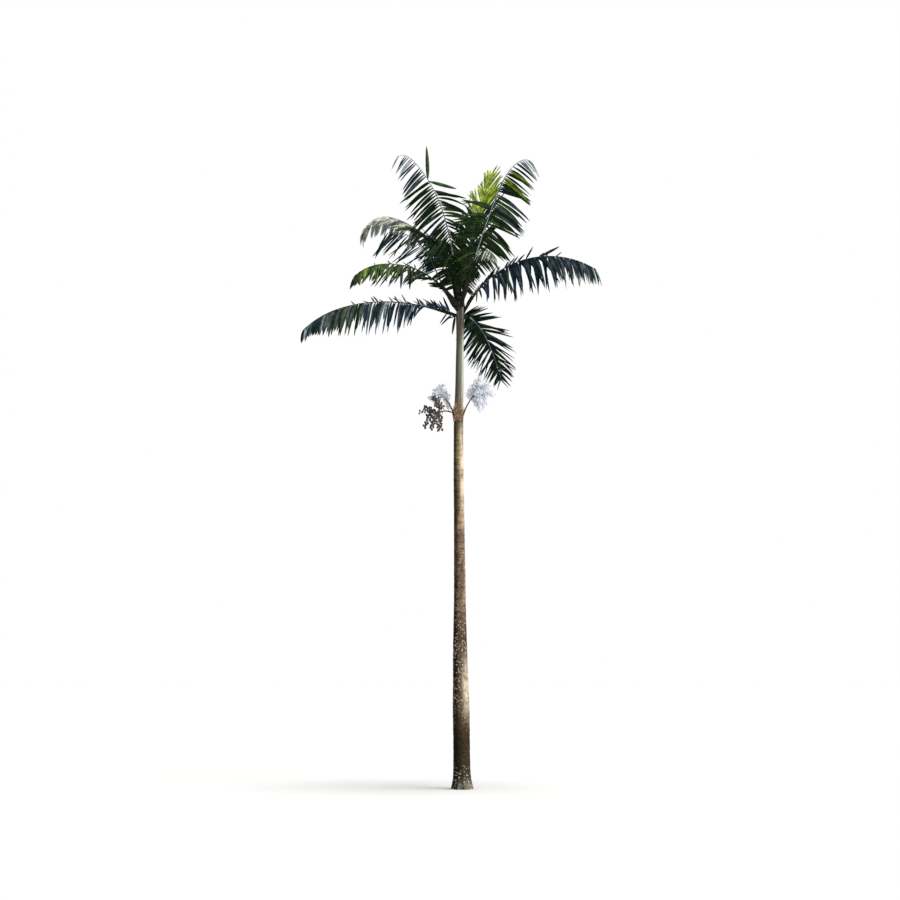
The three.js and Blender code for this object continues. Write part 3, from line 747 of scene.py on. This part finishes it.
def spotted_material(name, base, dark, pale, roughness, scale):
    """Three tones in small spots, and a fine grain."""
    material, tree, shader = new_material(name, base, roughness, LEAF_GLOSS)
    spots = noise_at(tree, scale, detail=5)
    colour = ramp(tree, spots, ((0.34, dark), (0.5, base), (0.68, pale)))
    dress(tree, shader, colour, noise_at(tree, scale * 4), 0.4, 0.003)
    return material


# Trunk and crownshaft
def wave_sum(random, angle, height, count, tallest):
    """A smooth seeded unevenness round and up a stem, within about -1 to 1."""
    total = np.zeros(np.broadcast(angle, height).shape)
    for _ in range(count):
        turns = random.integers(1, 5)
        rate = random.uniform(0.6, 1.0) * 2 * pi / tallest
        phase, start = random.uniform(0, 2 * pi, 2)
        total += np.sin(angle * turns + phase) * np.sin(height * rate + start)
    return total / sqrt(count)


def angle_from(angle, centre):
    return np.abs((angle - radians(centre) + pi) % (2 * pi) - pi)


def stem_mesh(name, lean, radius, heights, columns, material):
    """A closed stem whose radius is given for every row and column."""
    angle = circle(columns)
    x = lean[:, None] + radius * np.cos(angle)
    y = radius * np.sin(angle)
    z = np.broadcast_to(heights[:, None], radius.shape)
    ends = ((lean[0], 0, heights[0]), (lean[-1], 0, heights[-1]))
    verts = np.concatenate((np.stack((x, y, z), -1).reshape(-1, 3), ends))
    heap = Heap()
    heap.join(verts, *closed_faces(len(heights), columns))
    return heap.build(name, material)


def build_trunk():
    random = np.random.default_rng(SEEDS["trunk"])
    rows = int(RING_SCAR_Z / TRUNK_ROW_STEP) + 1
    heights = np.linspace(0, RING_SCAR_Z, rows)
    lean, radius = smooth_profile(TRUNK_PROFILE, heights)
    angle = circle(TRUNK_COLUMNS)[None, :]
    tall = heights[:, None]
    uneven = wave_sum(random, angle, tall, TRUNK_WAVES, SWELL_TALL) * SWELL_SHARE
    small = wave_sum(random, angle * 2, tall, TRUNK_WAVES, DENT_TALL) * DENT_SHARE
    surface = radius[:, None] * (1 + uneven + small)
    ring = np.zeros(surface.shape)
    place = FIRST_RING_Z
    while place < LAST_RING_Z:
        tilt = random.uniform(0, RING_TILT)
        start = random.uniform(0, 2 * pi)
        off = tall - place - tilt * np.cos(angle - start)
        depth = random.uniform(*RING_DEPTH)
        surface = surface - GROOVE_DEPTH * depth * bell(off, GROOVE_WIDTH)
        surface = surface + LIP_HEIGHT * depth * bell(off - LIP_ABOVE, LIP_WIDTH)
        ring = np.maximum(ring, bell(off, STAIN_WIDTH) * depth)
        place += random.uniform(*RING_GAP)
    # Knobs of old roots at the foot, and the fruit stalk's seat
    knobs = sum(depth * np.sin(angle * count + start) for count, start, depth in FOOT_KNOBS)
    surface = surface + (1 - smooth_step(0.0, KNOBS_TOP_Z, tall)) * knobs
    seat = bell(tall - SEAT_Z, SEAT_TALL)
    seat = seat * bell(angle_from(angle, SEAT_TURN), SEAT_WIDE)
    surface = surface + SEAT_SWELL * seat
    piece = stem_mesh("trunk_bark", lean, surface, heights, TRUNK_COLUMNS, bark_material())
    layer = piece.data.attributes.new("ring", "FLOAT", "POINT")
    values = np.concatenate((np.clip(ring, 0, 1).reshape(-1), (0, 0)))
    layer.data.foreach_set("value", values.astype(np.float32))
    return piece


def build_crownshaft(material):
    random = np.random.default_rng(SEEDS["shaft"])
    heights = np.linspace(RING_SCAR_Z, SHAFT_TOP_Z, SHAFT_ROWS)
    lean, radius = smooth_profile(SHAFT_PROFILE, heights)
    angle = circle(SHAFT_COLUMNS)[None, :]
    tall = heights[:, None]
    surface = radius[:, None] * (1 + SHAFT_SWELL * wave_sum(random, angle, tall, 7, 1.6))
    # Every petiole runs down into its sheath as a low ridge
    for frond in FRONDS.values():
        foot, full, top = (frond["seat"] + off for off in RIDGE_Z)
        near = bell(angle_from(angle, frond["turn"]), RIDGE_WIDE)
        below = smooth_step(foot, full, tall)
        above = 1 - smooth_step(frond["seat"], top, tall)
        surface = surface + RIDGE_HEIGHT * near * below * above
    lip = bell(tall - SHAFT_LIP_Z, SHAFT_LIP_TALL)
    surface = surface + SHAFT_LIP * lip * (1 + 0.5 * np.sin(angle * 3))
    return stem_mesh("crownshaft_sheaths", lean, surface, heights, SHAFT_COLUMNS, material)


# Fronds
def seat_of(frond):
    lift = radians(frond["lift"][0])
    off = sin(lift) * PETIOLE_HALF_DEPTH * 0.5 - cos(lift) * BITE
    return point_on(SHAFT_PROFILE, frond["turn"], frond["seat"], off)


def leaflet_length(frond, share):
    length = frond["leaf"] * (0.55 + 0.45 * min(1.0, share / 0.25))
    length *= 1 - frond["taper"] * min(1.0, max(0.0, (share - 0.55) / 0.45)) ** 1.3
    if share < frond["short"]:
        length *= 0.35 + 0.65 * share / frond["short"]
    return length


# Width along a leaflet, for one with a slim foot and one with a full foot
WIDTH_STATIONS = np.array((0.0, 0.06, 0.2, 0.42, 0.7, 0.9, 1.0))
SLIM_FOOT = np.array((0.2, 0.44, 0.85, 1.0, 0.82, 0.46, 0.05))
FULL_FOOT = np.array((0.85, 0.95, 1.0, 0.86, 0.6, 0.34, 0.05))
# How steeply the half blades fall from the midrib, and how thick it is, along a leaflet
LEAFLET_FOLD = ((0, 0.2, 1), (0.95, 0.45, 0.25))
LEAFLET_THICK = ((0, 1), (0.002, 0.0006))


def add_leaflet(heap, root, start, across, droop, length, half_width, full, twist, curl):
    """One folded leaflet: two half blades that meet in a raised midrib."""
    share = np.linspace(0, 1, LEAFLET_STEPS + 1)
    middle = (share[1:] + share[:-1]) / 2
    moves = start + droop * middle[:, None] * DOWN + curl * (middle**2)[:, None] * across
    moves = unit(moves)
    points = np.concatenate(([root], root + np.cumsum(moves, axis=0) * length / LEAFLET_STEPS))
    ahead = np.concatenate((moves[:1], moves))
    wide = unit(across - ahead * (ahead @ across)[:, None])
    over = np.cross(ahead, wide)
    if over[:, 2].mean() < 0:
        over = -over
    cosine, sine = np.cos(twist * share)[:, None], np.sin(twist * share)[:, None]
    wide, over = wide * cosine + over * sine, over * cosine - wide * sine
    half = np.interp(share, WIDTH_STATIONS, SLIM_FOOT + (FULL_FOOT - SLIM_FOOT) * full)
    half = half[:, None] * half_width
    fall = half * np.interp(share, *LEAFLET_FOLD)[:, None]
    thick = np.interp(share, *LEAFLET_THICK)[:, None]
    rings = np.stack((
        points + wide * half - over * fall, points + over * thick,
        points - wide * half - over * fall, points - over * thick,
    ), 1)
    last = len(points) * 4
    heap.join(rings.reshape(-1, 3), ring_faces(len(points), 4), [(3, 2, 1, 0)],
              [range(last - 4, last)])


def pick_tint(frond, which, share, random):
    weights = next(row[1] for row in reversed(frond["tints"]) if share >= row[0])
    for side, low, high, patch in frond["patches"]:
        if side == which and low <= share <= high:
            weights = patch
    names = list(weights)
    odds = np.array([weights[name] for name in names], float)
    return names[random.choice(len(names), p=odds / odds.sum())]


def bunches(random, count):
    """Leaflets cling in bunches: how far each one turns toward its bunch's middle, in
    degrees, and its bunch's own turn and fall."""
    rows = []
    while len(rows) < count:
        size = random.integers(2, 6)
        pull = random.uniform(1.4, 4.2)
        turn, fall = random.normal(0, 1, 2)
        for i in range(size):
            rows.append((pull * (i - (size - 1) / 2), turn, fall))
    return np.array(rows[:count])


def at_share(values, share):
    return float(np.interp(share, np.linspace(0, 1, len(values)), values))


def build_frond(name, own, number, materials):
    frond = {**FROND_DEFAULTS, **own}
    random = np.random.default_rng(SEEDS["fronds"] + number)
    line = grow(seat_of(frond), frond["turn"], frond["lift"], frond["length"], RIB_STEPS,
                frond["roll"])
    slim = line["share"] ** RIB_THINNING
    flare = 1 - smooth_step(0, FLARE_ENDS, line["share"])
    flare *= 0.4 + 0.6 * smooth_step(0, 0.07, line["share"])
    flare = 1 + frond["stout"] * flare
    half_width, half_depth = (
        (half + (RIB_TIP_RADIUS - half) * slim) * flare
        for half in (PETIOLE_HALF_WIDTH, PETIOLE_HALF_DEPTH)
    )
    bark_end = min(int(frond["bark"] * RIB_STEPS) + 2, RIB_STEPS)
    rib_skin = "frond_pale_rib" if number in PALE_RIBS else "frond_rib"
    pieces = []
    for part, skin, piece_of in (("_petiole", "frond_petiole", slice(0, bark_end)),
                                 ("_rib", rib_skin, slice(bark_end - 1, None))):
        heap = Heap()
        part_line = {key: value[piece_of] for key, value in line.items()}
        add_tube(heap, part_line, half_width[piece_of], half_depth[piece_of], RIB_COLUMNS)
        pieces.append(heap.build(name + part, materials[skin]))
    heaps = {}
    pairs = round(frond["dense"] * frond["length"] * (LAST_LEAFLET - frond["first"])
                  / LEAFLET_GAP) + 1
    gap = (LAST_LEAFLET - frond["first"]) / (pairs - 1)
    cling = (bunches(random, pairs), bunches(random, pairs))
    tear = random.random((2, pairs)) ** 1.5
    for i in range(pairs):
        share = i / (pairs - 1)
        for which, hand in enumerate((1, -1)):
            low, high = frond["sides"][which]
            loose = random.normal(0, 1, 6)
            lost, stands = random.random(2)
            tint = pick_tint(frond, which, share, random)
            if share < low or share > high or lost < at_share(frond["lost"], share):
                continue
            pull, turn, fall = cling[which][i] * (frond["cling"], 1, 1)
            place = frond["first"] + gap * (i + LOOSE["place"] * loose[0])
            ahead = along(line, place, "ahead")
            side = along(line, place, "side")
            kick = frond["kick"] * (1 - min(1.0, share / frond["kick_ends"]))
            hug = min(1.0, share / frond["hug"]) if frond["hug"] else 1.0
            size = 1 - at_share(frond["ragged"], share) * tear[which][i]
            size -= LOOSE["size"] * abs(loose[3])
            if stands < at_share(frond["spikes"], share):
                kick = SPIKE_KICK
                size *= at_share(SPIKE_SIZE, share)
            sag = frond["sag"][which] + frond["limp"] * max(0.0, 1 - 2 * share)
            sag = sag * (1 - kick) - KICK_RISE * kick
            sag += BUNCH["sag"] * fall + LOOSE["sag"] * loose[1]
            sag *= hug
            spread = at_share(frond["spread"], share) * (1 - kick) + KICK_SPREAD * kick
            spread = spread * hug + HUG_SPREAD * (1 - hug)
            spread += pull + BUNCH["turn"] * turn + LOOSE["turn"] * loose[2]
            bend = radians(spread)
            start = unit(ahead * cos(bend) + side * hand * sin(bend) + sag * DOWN)
            length = leaflet_length(frond, share) * (1 - 0.1 * kick) * size
            droop = frond["droop"] * hug * max(0.0, 1 - kick) * (1 + BUNCH["droop"] * fall)
            half_blade = LEAFLET_HALF_WIDTH * (0.7 + 0.3 * length / frond["leaf"])
            half_blade *= at_share(frond["wide"], share)
            raised = np.interp(place, line["share"], half_depth)
            root = along(line, place, "point") + along(line, place, "top") * raised
            add_leaflet(
                heaps.setdefault(tint, Heap()), root, start, ahead, droop, length,
                min(half_blade, 0.12 * length), frond["full"],
                LOOSE["twist"] * loose[4], LOOSE["curl"] * loose[5],
            )
    for place, turn, lift, length, tint in frond["strays"]:
        start = heading(turn, lift)
        add_leaflet(heaps.setdefault(tint, Heap()), along(line, place, "point"), start,
                    np.cross(start, (0.0, 1.0, 0.0)), 0.05, length,
                    min(STRAY_HALF_WIDTH, 0.06 * length), 0.0, 0.1, 0.05)
    for tint, heap in sorted(heaps.items()):
        pieces.append(heap.build(f"{name}_leaflets_{tint}", materials[tint], smooth=False))
    nodes = [name, name + "_end"] if number in SPLIT_FRONDS else [name]
    for piece in pieces:
        hand_over(piece, "young_leaf" if name == "frond_8" else "leaf", *nodes)


def build_spear(material):
    """The unopened leaf: a slim pleated spindle."""
    lean = smooth_profile(SHAFT_PROFILE, np.array(SHAFT_TOP_Z))[0]
    foot = np.array((lean, 0, SHAFT_TOP_Z - SPEAR["bite"]))
    line = grow(foot, SPEAR["turn"], SPEAR["lift"], SPEAR["length"], SPEAR["steps"])
    share = line["share"]
    thick = SPEAR["radius"] + (SPEAR["tip"] - SPEAR["radius"]) * share**1.6
    thick = thick + SPEAR["swell"] * np.sin(pi * np.clip(share * 1.2, 0, 1))
    pleat = np.tile((1 + SPEAR["pleat"], 1 - SPEAR["pleat"]), SPEAR["pleats"])
    heap = Heap()
    add_tube(heap, line, thick[:, None] * pleat, thick[:, None] * pleat, len(pleat))
    piece = heap.build("spear_leaf_folded", material, smooth=False)
    hand_over(piece, "young_leaf", "spear_leaf")


# Fruit and flowers
def stalk_line(plan):
    start = point_on(TRUNK_PROFILE, plan["turn"], plan["seat"], -STALK_BITE)
    return grow(start, plan["turn"], plan["lift"], plan["stalk"], STALK_STEPS)


def twig_line(plan, line, i, dice):
    count = plan["twigs"]
    share = i / (count - 1)
    point = along(line, 0.5 + 0.5 * ((i * 5) % count) / (count - 1), "point")
    lift = at_share(plan["twig_lift"], share)
    turn = plan["turn"] + plan["twig_fan"] * sin(i * TWIG_SWING)
    length = plan["twig_length"] * (0.75 + 0.35 * dice.roll())
    return grow(point, turn, [lift - fall for fall in TWIG_SAG], length, TWIG_STEPS)


def ball(radius, random):
    """A fruit: a slightly pointed and dented ball of a few rows."""
    tilt = np.linspace(-pi / 2, pi / 2, BALL_ROWS + 2)[1:-1]
    angle = circle(BALL_COLUMNS)
    flat = np.cos(tilt)[:, None] * (1 + BALL_DENT * random.normal(0, 1, (BALL_ROWS, 1)))
    x = flat * np.cos(angle) * BALL_WIDE
    y = flat * np.sin(angle) * BALL_WIDE
    z = np.broadcast_to(np.sin(tilt)[:, None] * BALL_TALL, x.shape)
    ends = ((0, 0, -BALL_TALL), (0, 0, BALL_TIP))
    verts = np.concatenate((np.stack((x, y, z), -1).reshape(-1, 3), ends)) * radius
    return verts, closed_faces(BALL_ROWS, BALL_COLUMNS)


def add_stem(heap, line, radii, columns):
    thick = radii[0] + (radii[1] - radii[0]) * line["share"]
    add_tube(heap, line, thick, thick, columns)


def build_fruit(materials):
    random = np.random.default_rng(SEEDS["fruit"])
    line = stalk_line(FRUIT)
    stems = Heap()
    add_stem(stems, line, STALK_RADII, 10)
    fruits = {"ripe": Heap(), "green": Heap()}
    for i in range(FRUIT["twigs"]):
        twig = twig_line(FRUIT, line, i, Dice(FRUIT["seed"] * 100 + i))
        add_stem(stems, twig, FRUIT["twig_radii"], 6)
        for k in range(FRUIT["fruits"]):
            share = 0.25 + 0.75 * k / (FRUIT["fruits"] - 1)
            swing = k * TWIG_SWING + random.random() * 0.8
            reach = FRUIT["fruit_radius"] * (0.9 + 0.7 * random.random())
            at = along(twig, share, "point") + round_line(twig, share, swing) * reach
            verts, faces = ball(FRUIT["fruit_radius"] * (0.75 + 0.35 * random.random()), random)
            kind = "green" if random.random() < GREEN_FRUITS else "ripe"
            fruits[kind].join(verts + at, *faces)
    pieces = [stems.build("fruit_cluster_stalks", materials["stalk"])]
    for kind, heap in fruits.items():
        pieces.append(heap.build("fruit_cluster_" + kind, materials["fruit_" + kind]))
    for piece in pieces:
        hand_over(piece, "fruit", "fruit_cluster")


def build_panicle(name, plan, number, materials):
    random = np.random.default_rng(SEEDS["panicles"] + number)
    line = stalk_line(plan)
    stems = Heap()
    add_stem(stems, line, FLOWER_STALK_RADII, 10)
    flowers = Heap()
    for i in range(plan["twigs"]):
        twig = twig_line(plan, line, i, Dice(plan["seed"] * 100 + i))
        add_stem(flowers, twig, plan["twig_radii"], 5)
        for k in range(plan["side"]):
            share = 0.1 + 0.85 * k / plan["side"]
            swing = k * TWIG_SWING + random.random() * 2
            away = unit(along(twig, share, "ahead") + round_line(twig, share, swing) * 0.7)
            length = plan["twig_length"] * (0.25 + 0.25 * random.random()) * (1.1 - 0.5 * share)
            turn = degrees(atan2(away[1], away[0]))
            lift = degrees(asin(away[2]))
            twiglet = grow(along(twig, share, "point"), turn,
                           [lift - fall for fall in TWIGLET_SAG], length, TWIGLET_STEPS)
            add_stem(flowers, twiglet, TWIGLET_RADII, 4)
            for m in range(BUDS):
                at = along(twiglet, 0.2 + 0.8 * m / (BUDS - 1), "point")
                at = at + random.normal(0, BUD_SCATTER, 3)
                flowers.join(BUD * random.uniform(*BUD_SIZE) + at, BUD_FACES)
    for piece in (stems.build(name + "_stalk", materials["flower_stalk"]),
                  flowers.build(name + "_flowers", materials["blossom"], smooth=False)):
        hand_over(piece, "blossom", name)


def build_fibres(material):
    """Loose brown fibres of old leaf bases round the ring scar."""
    random = np.random.default_rng(SEEDS["fibres"])
    heap = Heap()
    for _ in range(FIBRES["count"]):
        turn = random.normal(*FIBRES["turn"])
        low = random.uniform(*FIBRES["low"])
        rise = random.uniform(*FIBRES["rise"])
        swing = random.normal(0, FIBRES["swing"])
        share = np.linspace(0, 1, 9)
        height = low + rise * share
        angle = np.radians(turn + swing * share)
        lean, radius = smooth_profile(TRUNK_PROFILE + SHAFT_PROFILE[2:], height)
        out = radius + 0.005 + FIBRES["loose"] * random.random() * np.sin(share * pi)
        points = np.stack((lean + out * np.cos(angle), out * np.sin(angle), height), -1)
        outward = np.stack((np.cos(angle), np.sin(angle), 0 * angle), -1)
        side = unit(np.cross(np.gradient(points, axis=0), outward))
        line = dict(share=share, point=points, side=side, top=outward)
        thick = FIBRES["thick"] * (1 - 0.6 * share)
        add_tube(heap, line, thick * 1.6, thick * 0.7, 4)
    hand_over(heap.build("ring_scar_fibres", material), "bark")


def build_stage():
    """Pale floor, soft sky light and two soft suns from the right."""
    heap = Heap()
    turns = circle(FLOOR_COLUMNS)
    rim = np.stack((FLOOR_RADIUS * np.cos(turns), FLOOR_RADIUS * np.sin(turns), 0 * turns), -1)
    heap.join(np.concatenate((rim, [(0, 0, 0)])),
              cap_faces(FLOOR_COLUMNS, 0, FLOOR_COLUMNS, False))
    floor = heap.build("floor", new_material("floor", FLOOR_TONE, 0.9, 0.0)[0])
    world = bpy.data.worlds.new("studio")
    bpy.context.scene.world = world
    world.use_nodes = True
    tree = world.node_tree
    light = tree.nodes["Background"]
    feed(tree, light.inputs["Color"], SKY_TONE)
    feed(tree, light.inputs["Strength"], SKY_STRENGTH)
    seen = add_node(tree, "Background", Color=(1, 1, 1), Strength=1.0)
    path = add_node(tree, "LightPath")
    either = add_node(tree, "MixShader", Fac=path.outputs["Is Camera Ray"])
    tree.links.new(light.outputs[0], either.inputs[1])
    tree.links.new(seen.outputs[0], either.inputs[2])
    tree.links.new(either.outputs[0], tree.nodes["World Output"].inputs[0])
    for name, energy, softness, tilt, turn in SUNS:
        lamp = bpy.data.lights.new(name, "SUN")
        lamp.energy = energy
        lamp.color = SUN_TONE
        lamp.angle = radians(softness)
        new_object(name, lamp).rotation_euler = (radians(tilt), 0, radians(turn))


def build_camera():
    data = bpy.data.cameras.new("camera")
    data.sensor_width = SENSOR_MM
    data.lens = FOCAL_PIXELS / IMAGE_PIXELS * SENSOR_MM
    data.clip_end = 2000
    camera = new_object("camera", data)
    camera.location = CAMERA_PLACE
    camera.rotation_euler = (radians(90 + CAMERA_TILT), 0, 0)
    bpy.context.scene.camera = camera


def main():
    bpy.context.scene.view_settings.view_transform = "Standard"
    build_camera()
    build_stage()
    materials = {name: leaf_material("leaf_" + name, *look) for name, look in TINTS.items()}
    for name, look in SPOTTED.items():
        materials[name] = spotted_material(name, *look)
    hand_over(build_trunk(), "bark", "trunk")
    hand_over(build_crownshaft(sheath_material()), "sheath", "crownshaft")
    for number, (name, frond) in enumerate(FRONDS.items(), 1):
        build_frond(name, frond, number, materials)
    build_spear(materials["mid"])
    build_fruit(materials)
    for number, (name, plan) in enumerate(PANICLES.items()):
        build_panicle(name, plan, number, materials)
    build_fibres(materials["fibre"])


main()
